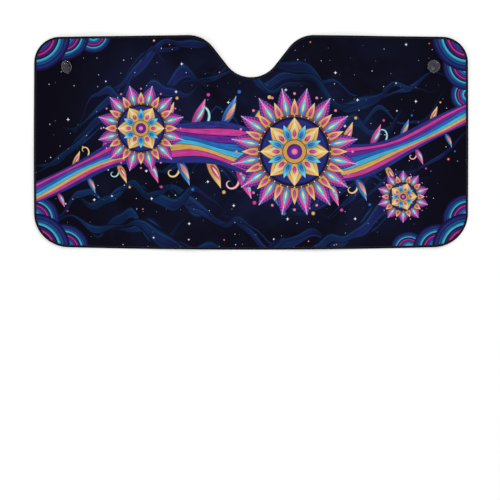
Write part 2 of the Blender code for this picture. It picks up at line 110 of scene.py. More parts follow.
# Ripples of the sewn edge
RIPPLE_HEIGHT = 0.005
RIPPLE_LENGTH = 0.410
RIPPLE_SKEW = 0.900
RIPPLE_PHASE = 0.8
RIPPLE_REACH = 0.130

# Suction cups
BELL_RADIUS = 0.0203
BELL_DEPTH = 0.0105
CAVITY_DEPTH = 0.0072
RIM_LAND = 0.0015
RIM_THICKNESS = 0.0010
BACK_DEPTH = BELL_DEPTH - RIM_THICKNESS
BELL_STEPS = 16
NECK_RADIUS = 0.0032
NECK_GAP = 0.0004
NECK_FREE_LENGTH = 0.0046
HEAD_RADIUS = 0.0070
HEAD_FOOT_RADIUS = 0.0045
HEAD_THICKNESS = 0.0022
NECK_THROUGH = HEAD_THICKNESS + 2 * FIT_GAP + SHEET_THICKNESS  # height at which it leaves the sheet
NECK_STEPS = 8
TAB_LENGTH = 0.0034
TAB_HALF_TURN = math.radians(6.5)
TAB_FULL_SHARE = 0.45  # share of its half turn where it starts to fall back to the rim
TAB_FADE_SHARE = 0.75
LEFT_TAB_ANGLE = math.radians(-80)
RIGHT_TAB_ANGLE = math.radians(-90)
LEFT_CUP_LEANS_TO = math.radians(196)
CUP_LIFT_REACH = 0.140
CUP_SEGMENTS = 144
HOLE_SEGMENTS = 48

# Motifs of the print
RIVER_BANDS = ("indigo", "magenta", "gold", "cyan", "blue", "violet", "magenta", "indigo")
RIVER_WIDTH = 0.150
RIVER_NARROWEST = 0.45
RIVER_RISE = 0.190
RIVER_SWING = 0.075
RIVER_LENGTH = 1.200
RIVER_DROP = 0.035
RIVER_STEP = 0.006
WOBBLE_HEIGHT = 0.009
WOBBLE_LENGTH = 0.330
WOBBLE_TURN = 0.9
LEAF_INKS = (("magenta", "cyan", "cream"), ("gold", "magenta", "cream"), ("blue", "gold", "pink"))
LEAF_SPACING = 0.048
LEAF_LENGTH = 0.108
LEAF_WIDTH = 0.036
LEAF_SLANT = math.radians(52)
LEAF_CURL = 0.022
LEAF_ROOT_LEVEL = 0.42
LEAF_INLAYS = ((0.20, 0.62, 0.50), (0.30, 0.38, 0.20))  # from, length and width, as shares of the leaf's
DROP_RADIUS = 0.0065
DROP_GAP = 0.016
DROP_SIDES = 20
BLADE_STEPS = 14
BLADE_POWER = 0.8  # under 1, so that a blade is widest near its root
ROSETTE_LAYERS = (
    # ink, share of the petals (0 for a disc), turn, inner and outer radius, width in spacings
    ("violet", 1, 0.5, 0.42, 1.00, 0.74),
    ("magenta", 1, 0.5, 0.48, 0.93, 0.50),
    ("cyan", 1, 0.5, 0.56, 0.84, 0.26),
    ("cream", 1, 0.5, 0.62, 0.76, 0.09),
    ("gold", 1, 0, 0.46, 0.82, 0.34),
    ("magenta", 1, 0, 0.58, 0.75, 0.13),
    ("gold", 0, 0, 0, 0.57, 0),
    ("indigo", 0, 0, 0, 0.54, 0),
    ("gold", 0.5, 0, 0.12, 0.53, 0.74),
    ("pale_gold", 0.5, 0, 0.16, 0.47, 0.42),
    ("magenta", 0.5, 0, 0.22, 0.36, 0.16),
    ("cyan", 0.5, 0.5, 0.18, 0.44, 0.30),
    ("blue", 0.5, 0.5, 0.22, 0.36, 0.14),
    ("gold", 0, 0, 0, 0.19, 0),
    ("violet", 0, 0, 0, 0.12, 0),
    ("pink", 0, 0, 0, 0.05, 0),
)
ROSETTES = ((0.140, -0.030, 0.208, 16), (-0.355, 0.045, 0.142, 12), (0.490, -0.175, 0.084, 10))
ROSETTE_BEADS = (("cream", 2.0, 0.0, 0.555, 0.010), ("pink", 1.0, 0.0, 0.90, 0.022))
BEAD_SIDES = 12
CURL_INKS = [("keyline", ink, "cream") for ink in ("gold", "cyan", "pink")]
CURL_BREADTHS = (1.30, 1.00, 0.34)  # of its three layers, as shares of its width
CURL_SPACING = 0.096
CURL_LENGTH = 0.120
CURL_WIDTH = 0.010
CURL_SLANT = math.radians(66)
CURL_TURN = math.radians(330)
CURL_TURN_POWER = 1.6  # how late along a curl its turn comes
CURL_TAPER_POWER = 0.6
CURL_FIRST_STRIDE = 1.5  # its first step's length; its last falls as far short of 1
CURL_STEPS = 30
DISC_SIDES = 72
SCALLOP_INKS = (  # ink and share of the radius
    ("indigo", 1.00), ("blue", 0.88), ("cyan", 0.80), ("indigo", 0.69), ("magenta", 0.62),
    ("violet", 0.54), ("blue", 0.46), ("cyan", 0.36), ("indigo", 0.24), ("pink", 0.10),
)
SCALLOP_RADIUS = 0.118
SCALLOP_SPACING = 0.096
SCALLOP_TAPER = 0.70
SCALLOP_CORNERS = ((-1, 1, 2, 0), (1, -1, 2, 1), (-1, -1, 1, 1), (1, 1, 0, 2))
STRAND_COUNT = 44
STRAND_LEVELS = (0.50, 2.60)  # nearest and furthest, above and below the river
STRAND_SPREAD = 1.08
STRAND_LENGTHS = (0.22, 0.52)
STRAND_WIDTHS = (0.022, 0.085)
STRAND_WAVES = (0.014, 0.040)
STRAND_WAVE_LENGTHS = (0.15, 0.34)
STRAND_SWELL = 0.35
STRAND_FLUTTER = (0.3, 2.3)  # height and count of finer waves, as shares of the main one's
STRAND_TAPER_POWER = 0.7
STRAND_STEPS = 30
STAR_COUNT = 34
STAR_RADIUS = 0.0055
STAR_WAIST_SHARE = 0.35
STAR_FIELD = (0.46, 0.44)  # half the stars' field, in widths and heights of the shade
SALT_STEP = 0.37
GOLDEN_SHARE = (math.sqrt(5) - 1) / 2
STAR_SPIRAL = math.tau * (1 - GOLDEN_SHARE)  # the golden angle

# Each ink, from its deep end to its bright end
INKS = {
    "midnight": ((0.0040, 0.0034, 0.0082), (0.0060, 0.0062, 0.0170)),
    "indigo": ((0.011, 0.012, 0.090), (0.035, 0.048, 0.290)),
    "blue": ((0.008, 0.050, 0.260), (0.030, 0.210, 0.620)),
    "cyan": ((0.015, 0.210, 0.460), (0.100, 0.640, 0.820)),
    "violet": ((0.045, 0.007, 0.130), (0.190, 0.040, 0.420)),
    "magenta": ((0.300, 0.012, 0.160), (0.800, 0.080, 0.400)),
    "pink": ((0.600, 0.070, 0.280), (0.900, 0.300, 0.520)),
    "gold": ((0.420, 0.160, 0.026), (0.860, 0.560, 0.170)),
    "pale_gold": ((0.560, 0.270, 0.050), (0.920, 0.720, 0.300)),
    "cream": ((0.800, 0.520, 0.180), (0.940, 0.830, 0.480)),
    "star_white": ((0.600, 0.660, 0.800), (0.950, 0.950, 1.000)),
    "keyline": ((0.0065, 0.0045, 0.0300),) * 2,
}
INK_NAMES = list(INKS)
OUTLINE_INK = INKS["keyline"][0]

PLAIN, DISC, BLADE, BAND, SMOKE = range(5)
THINNEST = 0.00002  # added to half widths, so that none is nought
MERGE_DISTANCE = 1e-6
POINTS_AT_ONCE = 2000  # measured together, to save memory

# Photograph's square frame, with the shade in its upper half
FRAME_WIDTH = 1.612
CAMERA_PLACE = (-0.0035, -0.347, 9.0)

# Studio
WORLD_LEVEL = 0.62
FLOOR_GLOW = 0.26
FLOOR_REACH = 12.0
FLOOR_DROP = 0.0001  # room for the thread of the back
FLOOR_COLOUR = (0.8, 0.8, 0.8)
LAMPS = (  # name, place, size and power
    ("key", (2.2, 2.8, 5.0), 5.0, 130),
    ("fill", (-2.9, -4.1, 2.4), 1.2, 66),
)


def smooth(share):
    """0 to 1 with level ends, for shares that may run past either."""
    share = np.clip(share, 0.0, 1.0)
    return share * share * (3 - 2 * share)


def part_way(ends, share):
    """A number between two ends, some share of the way."""
    return ends[0] + (ends[1] - ends[0]) * share


# Outline

def around(centre, radius, turn):
    """The point at a radius and a turn about a centre."""
    return centre[0] + radius * math.cos(turn), centre[1] + radius * math.sin(turn)


def arc(centre, radius, start, end):
    """Points along an arc, both ends included."""
    steps = max(2, math.ceil(radius * abs(end - start) / ARC_STEP))
    return [around(centre, radius, start + (end - start) * i / steps) for i in range(steps + 1)]


def between(start, end):
    """Evenly spaced points of a straight stretch, neither end included."""
    steps = max(1, math.ceil(math.dist(start, end) / OUTLINE_STEP))
    return [[part_way(ends, i / steps) for ends in zip(start, end)] for i in range(1, steps)]


def notch_half_width():
    """Half the notch's width at the upper edge, where its shoulders begin."""
    radii = NOTCH_BOTTOM_RADIUS + NOTCH_SHOULDER_RADIUS
    flank = (NOTCH_DEPTH - radii * (1 - math.cos(NOTCH_SLOPE))) / math.sin(NOTCH_SLOPE)
    return radii * math.sin(NOTCH_SLOPE) + flank * math.cos(NOTCH_SLOPE)


def bowed(x, y):
    """Where an outline point lies once sewing has drawn the corners in."""
    across = x / (SHADE_WIDTH / 2)
    up = y / (SHADE_HEIGHT / 2)
    shoulder = notch_half_width()
    past_notch = max(abs(x) - shoulder, 0) / (SHADE_WIDTH / 2 - shoulder)
    fall = UPPER_EDGE_FALL * max(up, 0) * past_notch
    rise = LOWER_EDGE_BOW * max(-up, 0) * across**2
    return x - SIDE_BOW * across * up**2, y - fall + rise


def outline():
    """The closed outside edge of the tape, counter-clockwise from the lower right corner."""
    right, top = SHADE_WIDTH / 2, SHADE_HEIGHT / 2
    low, high, shoulder = LOWER_CORNER_RADIUS, UPPER_CORNER_RADIUS, NOTCH_SHOULDER_RADIUS
    notch_side = notch_half_width()
    notch_floor = top - NOTCH_DEPTH + NOTCH_BOTTOM_RADIUS
    quarter = math.pi / 2
    arcs = [
        arc((right - low, low - top), low, -quarter, 0),
        arc((right - high, top - high), high, 0, quarter),
        arc((notch_side, top - shoulder), shoulder, quarter, quarter + NOTCH_SLOPE),
        arc((0, notch_floor), NOTCH_BOTTOM_RADIUS, NOTCH_SLOPE - quarter, -NOTCH_SLOPE - quarter),
        arc((-notch_side, top - shoulder), shoulder, quarter - NOTCH_SLOPE, quarter),
        arc((high - right, top - high), high, quarter, 2 * quarter),
        arc((low - right, low - top), low, 2 * quarter, 3 * quarter),
    ]
    points = []
    for curve, following in zip(arcs, arcs[1:] + arcs[:1]):
        points += curve + between(curve[-1], following[0])
    return np.array([bowed(x, y) for x, y in points])


def directions(line):
    """Unit vectors along and into a closed counter-clockwise line, at each point."""
    along = np.roll(line, -1, axis=0) - np.roll(line, 1, axis=0)
    along /= np.linalg.norm(along, axis=1)[:, None]
    return along, np.stack([-along[:, 1], along[:, 0]], axis=1)


def inset(line, distance):
    """A closed counter-clockwise line, moved in by a distance."""
    return line + directions(line)[1] * distance


def distance_in(line, points):
    """Distance from each point to the nearest place on a closed line."""
    step = np.roll(line, -1, axis=0) - line
    square = (step**2).sum(axis=1)
    nearest = []
    for block in np.array_split(points, len(points) // POINTS_AT_ONCE + 1):
        away = block[:, None, :] - line[None]
        share = np.clip((away * step).sum(axis=2) / square, 0, 1)
        nearest.append(np.linalg.norm(away - share[..., None] * step, axis=2).min(axis=1))
    return np.concatenate(nearest)


# Heights

CUP_PLACES = {joint["child"]: joint["pos_m"][:2] for joint in frame["joints"]}


def lift(x, y):
    """Height to which ripples and the cups' heads raise the sheet off the floor."""
    wave = 0.5 + 0.5 * np.sin(math.tau * (x / RIPPLE_LENGTH + y / RIPPLE_SKEW) + RIPPLE_PHASE)
    near_side = smooth(1 - (SHADE_WIDTH / 2 - np.abs(x)) / RIPPLE_REACH)
    near_end = smooth(1 - (SHADE_HEIGHT / 2 - np.abs(y)) / RIPPLE_REACH)
    height = RIPPLE_HEIGHT * wave**2 * (1 - (1 - near_side) * (1 - near_end))
    level = BELL_RADIUS + BELL_DEPTH + TAB_LENGTH
    for cup_x, cup_y in CUP_PLACES.values():
        away = np.hypot(x - cup_x, y - cup_y)
        near_cup = 1 - smooth((away - level) / (CUP_LIFT_REACH - level))
        height = height + (HEAD_THICKNESS + FIT_GAP - height) * near_cup
    return height


def sheet_heights(points, distance):
    """Heights of the sheet's underside and face, at those distances in from the outline."""
    full = smooth((distance - TAPE_WIDTH - FIT_GAP) / PUFF_WIDTH)
    thickness = part_way((EDGE_THICKNESS, SHEET_THICKNESS), full)
    base = lift(*points.T) + part_way((TAPE_HALF_HEIGHT, SHEET_THICKNESS / 2), full)
    return base - thickness / 2, base + thickness / 2


# Print, as shapes of (ink, kind, closed outline, place, span), lowest first
# place is (x, y, angle) of a shape's own axes, and span is its (length, width, curl)

NO_AXES = ((0, 0, 0), (1, 1, 0))  # place and span where the shading needs none


def disc(ink, x, y, radius, sides=DISC_SIDES):
    """A round shape."""
    points = [around((x, y), radius, math.tau * i / sides) for i in range(sides)]
    return ink, DISC, points, (x, y, 0), (radius, radius, 0)


def blade(ink, x, y, angle, length, width, curl=0.0):
    """A petal or leaf that grows out from a point; curl bends its tip to the left."""
    shares = [i / BLADE_STEPS for i in range(1, BLADE_STEPS)]
    side = [(s, width / 2 * math.sin(math.pi * s**BLADE_POWER)) for s in shares]
    shape = [(0, 0), *[(s, -w) for s, w in side], (1, 0), *[(s, w) for s, w in reversed(side)]]
    cos, sin = math.cos(angle), math.sin(angle)
    points = []
    for share, across in shape:
        along = length * share
        across += curl * share**2
        points.append((x + along * cos - across * sin, y + along * sin + across * cos))
    return ink, BLADE, points, (x, y, angle), (length, width, curl)


def rosette(x, y, radius, count):
    """A flower of ringed petals with beads between them."""
    spacing = math.tau * radius / count

    def ring(share, turn):
        number = round(count * share)
        return [math.tau * (i + turn) / number for i in range(number)]

    shapes = []
    for ink, share, turn, inner, outer, width in ROSETTE_LAYERS:
        for angle in ring(share, turn):
            root = around((x, y), inner * radius, angle)
            shapes.append(blade(ink, *root, angle, (outer - inner) * radius, width * spacing))
        if not share:
            shapes.append(disc(ink, x, y, outer * radius))
    for ink, share, turn, away, size in ROSETTE_BEADS:
        for angle in ring(share, turn):
            shapes.append(disc(ink, *around((x, y), away * radius, angle), size * radius, BEAD_SIDES))
    return shapes


def river_middle(x):
    """Height of the river's middle line at x."""
    swing = RIVER_SWING * np.sin(math.tau * x / RIVER_LENGTH)
    return RIVER_RISE * x / SHADE_WIDTH - RIVER_DROP - swing


def river_share(x):
    """The river's width at x, as a share of its full width."""
    return RIVER_NARROWEST + (1 - RIVER_NARROWEST) * np.cos(math.pi * x / SHADE_WIDTH) ** 2


def wobble(x, level):
    """How far the river's level line at x is pushed up, for a river of full width."""
    return WOBBLE_HEIGHT * np.sin(math.tau * (x / WOBBLE_LENGTH + level * WOBBLE_TURN))


def river_line(x, level):
    """Height of the river's level line at x; level runs from -0.5 at its foot to 0.5 at its top."""
    return river_middle(x) + river_share(x) * (level * RIVER_WIDTH + wobble(x, level))


def river_level(x, y):
    """The level of the river's line through each point, by working river_line backwards."""
    straight = (y - river_middle(x)) / river_share(x) / RIVER_WIDTH
    level = straight
    for _ in range(6):
        level = straight - wobble(x, level) / RIVER_WIDTH
    return level


def river():
    """Bands that flow side by side, lowest first."""
    steps = math.ceil(SHADE_WIDTH / RIVER_STEP)
    places = np.linspace(-SHADE_WIDTH / 2, SHADE_WIDTH / 2, steps + 1)
    levels = [band / len(RIVER_BANDS) - 0.5 for band in range(len(RIVER_BANDS) + 1)]
    lines = [list(zip(places, river_line(places, level))) for level in levels]
    bands = zip(RIVER_BANDS, lines, lines[1:])
    return [(ink, BAND, lower + upper[::-1], *NO_AXES) for ink, lower, upper in bands]


def along_banks(spacing, first_bank):
    """Places on the river's banks in turn, as (number, bank, x, y, share of the full size)."""
    count = math.floor(SHADE_WIDTH / spacing) - 2
    for i in range(count):
        bank = -first_bank if i % 2 else first_bank
        x = (i - (count - 1) / 2) * spacing
        yield i, bank, x, float(river_line(x, LEAF_ROOT_LEVEL * bank)), float(river_share(x))


def leaves():
    """Inlaid leaves on the river's banks in turn, each with a drop past its tip."""
    shapes = []
    for i, bank, x, y, share in along_banks(LEAF_SPACING, -1):
        length, width, curl = LEAF_LENGTH * share, LEAF_WIDTH * share, LEAF_CURL * share * bank
        angle = bank * LEAF_SLANT
        outer, *inlays = LEAF_INKS[i % len(LEAF_INKS)]
        shapes.append(blade(outer, x, y, angle, length, width, curl))
        for ink, (start, reach, breadth) in zip(inlays, LEAF_INLAYS):
            root = around((x, y), start * length, angle)
            shapes.append(blade(ink, *root, angle, length * reach, width * breadth, curl * reach**2))
        tip_x, tip_y = around((x, y), length + DROP_GAP, angle)
        drop = (tip_x - curl * math.sin(angle), tip_y + curl * math.cos(angle))
        shapes.append(disc(outer, *drop, DROP_RADIUS * share, DROP_SIDES))
    return shapes


def tendril(x, y, bank, share, breadth):
    """The closed outline of a tendril that rolls up on itself; breadth is a share of its width."""
    step = CURL_LENGTH * share / CURL_STEPS
    left, right = [], []
    for j in range(CURL_STEPS + 1):
        done = j / CURL_STEPS
        heading = bank * (CURL_SLANT + CURL_TURN * done**CURL_TURN_POWER)
        across = CURL_WIDTH / 2 * share * breadth * (1 - done) ** CURL_TAPER_POWER
        left.append(around((x, y), across, heading + math.pi / 2))
        right.append(around((x, y), across, heading - math.pi / 2))
        x, y = around((x, y), step * (CURL_FIRST_STRIDE - done), heading)
    return right + left[-2::-1]


def curls():
    """Outlined tendrils with a pale core, on the river's banks in turn."""
    shapes = []
    for i, bank, x, y, share in along_banks(CURL_SPACING, 1):
        for ink, breadth in zip(CURL_INKS[i % len(CURL_INKS)], CURL_BREADTHS):
            shapes.append((ink, PLAIN, tendril(x, y, bank, share, breadth), *NO_AXES))
    return shapes


def scallops():
    """Nested discs along the outline, smaller the further they are from their corner."""
    shapes = []
    for side, end, along, up in SCALLOP_CORNERS:
        places = [(i, 0) for i in range(along, 0, -1)] + [(0, i) for i in range(up, 0, -1)] + [(0, 0)]
        for column, row in places:
            x = side * (SHADE_WIDTH / 2 - column * SCALLOP_SPACING)
            y = end * (SHADE_HEIGHT / 2 - row * SCALLOP_SPACING)
            radius = SCALLOP_RADIUS * SCALLOP_TAPER ** (column + row)
            shapes += [disc(ink, x, y, radius * share) for ink, share in SCALLOP_INKS]
    return shapes


def scattered(number, salt):
    """A share from 0 to 1 that looks random but is the same each run."""
    return (number * GOLDEN_SHARE * (1 + salt) + SALT_STEP * salt) % 1


def strand_sizes(number):
    """Level, middle, length, width, wave's height, length and phase of a strand of smoke."""
    shares = [scattered(number, salt) for salt in range(6)]
    side = 1 if number % 2 else -1
    return (
        side * part_way(STRAND_LEVELS, shares[0]),
        (shares[1] - 0.5) * STRAND_SPREAD,
        part_way(STRAND_LENGTHS, shares[2]),
        part_way(STRAND_WIDTHS, shares[3] ** 2),
        part_way(STRAND_WAVES, shares[4]),
        part_way(STRAND_WAVE_LENGTHS, shares[5]),
        math.tau * shares[2],
    )


def strand_lines(number, x):
    """Where along a strand x is, from 0 to 1, and the strand's height and half width there."""
    level, middle, length, width, wave, wave_length, phase = strand_sizes(number)
    along = np.clip((x - middle) / length + 0.5, 0, 1)
    swell = 1 - STRAND_SWELL + STRAND_SWELL * np.sin(math.tau * 2 * along + phase)
    turn = math.tau * x / wave_length + phase
    flutter = STRAND_FLUTTER[0] * np.sin(STRAND_FLUTTER[1] * turn)
    height = river_line(x, level) + wave * (np.sin(turn) + flutter)
    return along, height, width / 2 * swell * np.sin(math.pi * along) ** STRAND_TAPER_POWER


def strands():
    """Wavy ribbons of smoke that follow the river and taper at both ends."""
    shapes = []
    for number in range(STRAND_COUNT):
        _, middle, length, *_ = strand_sizes(number)
        x = np.linspace(middle - length / 2, middle + length / 2, STRAND_STEPS + 1)
        _, height, half = strand_lines(number, x)
        lower = list(zip(x, height - half))
        upper = list(zip(x, height + half))
        shapes.append(("midnight", SMOKE, lower + upper[-2:0:-1], (number, 0, 0), (1, 1, 0)))
    return shapes


def stars():
    """Four-pointed stars, scattered along a spiral of even density."""
    shapes = []
    for i in range(STAR_COUNT):
        away = math.sqrt((i + 0.5) / STAR_COUNT)
        x = STAR_FIELD[0] * SHADE_WIDTH * away * math.cos(i * STAR_SPIRAL)
        y = STAR_FIELD[1] * SHADE_HEIGHT * away * math.sin(i * STAR_SPIRAL)
        reaches = [STAR_RADIUS, STAR_RADIUS * STAR_WAIST_SHARE] * 4
        points = [around((x, y), reach, corner * math.pi / 4) for corner, reach in enumerate(reaches)]
        shapes.append(("star_white", PLAIN, points, *NO_AXES))
    return shapes


def artwork():
    """Every printed shape, lowest first."""
    shapes = strands() + stars() + scallops() + curls() + leaves() + river()
    for flower in ROSETTES:
        shapes += rosette(*flower)
    return shapes


# Shader arithmetic

class Field:
    """A shader value that can be reckoned with like a number."""

    def __init__(self, socket):
        self.tree = socket.id_data
        self.socket = socket

    def apply(self, operation, *others, clamp=False):
        node = new_node(self.tree, "Math")
        node.operation = operation
        node.use_clamp = clamp
        for socket, value in zip(node.inputs, (self, *others)):
            feed(socket, value)
        return Field(node.outputs[0])

    __add__ = partialmethod(apply, "ADD")
    __sub__ = partialmethod(apply, "SUBTRACT")
    __mul__ = partialmethod(apply, "MULTIPLY")
    __truediv__ = partialmethod(apply, "DIVIDE")
    __pow__ = partialmethod(apply, "POWER")
    sin = partialmethod(apply, "SINE")
    cos = partialmethod(apply, "COSINE")
    abs = partialmethod(apply, "ABSOLUTE")
    fract = partialmethod(apply, "FRACT")
    clip = partialmethod(apply, "ADD", 0.0, clamp=True)

    def is_near(self, number):
        return self.apply("COMPARE", number, 0.5)

    def ramp(self, low, high):
        """0 at low, 1 at high, and smooth between."""
        node = new_node(self.tree, "MapRange", value=self, from_min=low, from_max=high)
        node.interpolation_type = "SMOOTHSTEP"
        return Field(node.outputs["Result"])


def feed(socket, value):
    """Sets a socket to a number or a colour, or links a field to it."""
    if isinstance(value, Field):
        value.tree.links.new(value.socket, socket)
    elif hasattr(value, "__len__") and len(value) == 3 and len(socket.default_value) == 4:
        socket.default_value = (*value, 1)
    else:
        socket.default_value = value


def set_inputs(node, **settings):
    """Sets or links a node's inputs; a setting's underscores stand for spaces."""
    for setting, value in settings.items():
        feed(node.inputs[setting.replace("_", " ").title().replace("Ior", "IOR")], value)


def new_node(tree, kind, **settings):
    """A shader node of a kind, with settings as in set_inputs."""
    node = tree.nodes.new("ShaderNode" + kind)
    set_inputs(node, **settings)
    return node


def mix(factor, low, high):
    """A colour between two others."""
    node = new_node(factor.tree, "Mix", factor=factor)
    node.data_type = "RGBA"
    feed(node.inputs[6], low)
    feed(node.inputs[7], high)
    return Field(node.outputs[2])


def attribute(tree, name, output="Fac"):
    """A value kept on the mesh."""
    node = new_node(tree, "Attribute")
    node.attribute_name = name
    return Field(node.outputs[output])


def parts_of(vector):
    """The x, y and z of a vector."""
    return [Field(output) for output in new_node(vector.tree, "SeparateXYZ", vector=vector).outputs]


def joined(x, y):
    """A flat vector from its parts."""
    return Field(new_node(x.tree, "CombineXYZ", x=x, y=y).outputs[0])


def noise(place, scale, **settings):
    """Cloudy variation from 0 to 1 at a number of features per metre."""
    return Field(new_node(place.tree, "TexNoise", vector=place, scale=scale, **settings).outputs["Fac"])


def object_place(tree):
    """Position in the object's own axes."""
    return Field(new_node(tree, "TexCoord").outputs["Object"])


def bump(shader, height, distance, strength):
    """Gives a surface fine relief."""
    node = new_node(height.tree, "Bump", distance=distance, strength=strength, height=height)
    set_inputs(shader, normal=Field(node.outputs[0]))


def new_material(name, **settings):
    """A material with its tree and its shader, with settings as in set_inputs."""
    made = bpy.data.materials.new(name)
    made.use_nodes = True
    shader = made.node_tree.nodes["Principled BSDF"]
    set_inputs(shader, **settings)
    return made, made.node_tree, shader


def palette(position, end):
    """The deep or bright end of the ink whose place in the palette is given."""
    node = new_node(position.tree, "ValToRGB", fac=position)
    ramp = node.color_ramp
    ramp.interpolation = "CONSTANT"
    for i, name in enumerate(INK_NAMES):
        if i > 1:
            ramp.elements.new(i / len(INK_NAMES))
        ramp.elements[i].position = i / len(INK_NAMES)
        ramp.elements[i].color = (*INKS[name][end], 1)
    return Field(node.outputs[0])


# Materials

WEAVE_PITCH = 0.0011
PRINT_RELIEF = (0.00012, 0.6)  # height and strength
FOIL_PITCH = 0.0022
FOIL_RELIEF = (0.0006, 0.5)
TAPE_RELIEF = (0.00015, 0.7)
GROUND_SHADES = ((0.0036, 0.0031, 0.0080), (0.0070, 0.0095, 0.0330))
SMOKE_SHADES = ((0.006, 0.033, 0.130), (0.015, 0.019, 0.130))
SMOKE_THREAD = (0.011, 0.070, 0.190)
SMALL_STARS = (25.0, (0.0009, 0.0019), 0.50)  # cells per metre, radii and share of the cells
SMALL_STAR_TINTS = ((0.50, 0.60, 0.85), (0.95, 0.95, 1.0))
LARGE_STARS = (7.5, (0.0016, 0.0034), 0.62)
LARGE_STAR_GLOWS = ((0.25, 0.35, 0.80), (0.80, 0.06, 0.16))
LARGE_STAR_TINTS = ((1.0, 1.0, 1.0), (1.0, 0.42, 0.26))
VEIN_TINT = (0.95, 0.85, 0.75)
FOIL_SHADES = ((0.62, 0.63, 0.64), (0.76, 0.77, 0.78))
TAPE_FOLD_SHADES = ((0.0002, 0.0002, 0.0006), (0.0012, 0.0012, 0.0020))
# paler colours where the tape lies flat: a painted highlight
TAPE_FLAT_PAINTED_HIGHLIGHT = ((0.0075, 0.0072, 0.0110), (0.0290, 0.0280, 0.0390))
THREAD_SHADES = ((0.0020, 0.0020, 0.0026), (0.010, 0.010, 0.012))
VINYL_SHADES = ((0.150, 0.120, 0.205), (0.195, 0.160, 0.260))
# the rim's colour is a painted highlight and the neck's a painted shade
VINYL_RIM_PAINTED_HIGHLIGHT = (0.285, 0.250, 0.345)
VINYL_NECK_PAINTED_SHADE = (0.020, 0.020, 0.024)


def weave(x, y, pitch):
    """Relief of a plain weave, from 0 to 1."""
    warp = (x * (math.tau / pitch)).sin()
    weft = (y * (math.tau / pitch)).sin()
    return warp * weft * 0.25 + 0.5 + (warp.abs() - weft.abs()) * 0.12


def star_dots(place, cells, sizes, share):
    """Soft dots in part of a plane's cells: their cover, their glow and two random values."""
    node = new_node(place.tree, "TexVoronoi", vector=place, scale=cells, randomness=0.8)
    node.voronoi_dimensions = "2D"
    away = Field(node.outputs["Distance"]) / cells
    red, green, blue = parts_of(Field(node.outputs["Color"]))
    size = (red ** 2.0) * (sizes[1] - sizes[0]) + sizes[0]
    chosen = green.ramp(1.0 - share, 1.01 - share)
    glow = (away / (size * 2.8)).ramp(1.0, 0.0)
    return (away / size).ramp(1.0, 0.5) * chosen, glow * glow * chosen, red, blue


def smoke_cover(place):
    """How strongly a strand of smoke shows, and how bright its thread is."""
    along, across, shows = parts_of(attribute(place.tree, "smoke", "Vector"))
    fade = (along * math.pi).sin().clip() ** 0.8
    patch = noise(place, 7.0).ramp(0.30, 0.66)
    streak = noise(joined(along * 3.0, across * 2.6), 1.6)
    body = across.abs().ramp(1.0, 0.1) * (streak * 0.9 + 0.35)
    thread = (across - 0.45).abs().ramp(0.26, 0.0) + (across + 0.6).abs().ramp(0.20, 0.0) * 0.6
    shown = fade * shows * (patch * 0.65 + 0.35)
    return body * shown, thread * shown


def night_sky(place, x, y):
    """The ground of the print: midnight blue with thin smoke and small stars."""
    inward = x.abs().ramp(0.66, 0.30) * y.abs().ramp(0.46, 0.20)
    haze = noise(place, 4.6, detail=3.0, distortion=0.8).ramp(0.30, 0.70) * inward
    colour = mix(haze, *GROUND_SHADES)
    body, thread = smoke_cover(place)
    hue = noise(place, 3.0).ramp(0.42, 0.58)
    colour = mix(body.clip(), colour, mix(hue, *SMOKE_SHADES))
    colour = mix(thread * 0.6, colour, SMOKE_THREAD)
    cover, _, dim, tint = star_dots(place, *SMALL_STARS)
    colour = mix(cover * (dim * 0.65 + 0.35), colour, mix(tint, *SMALL_STAR_TINTS))
    cover, glow, _, warm = star_dots(place, *LARGE_STARS)
    warm = warm.ramp(0.50, 0.54)
    colour = mix(glow * 0.45, colour, mix(warm, *LARGE_STAR_GLOWS))
    return mix(cover, colour, mix(warm, *LARGE_STAR_TINTS))


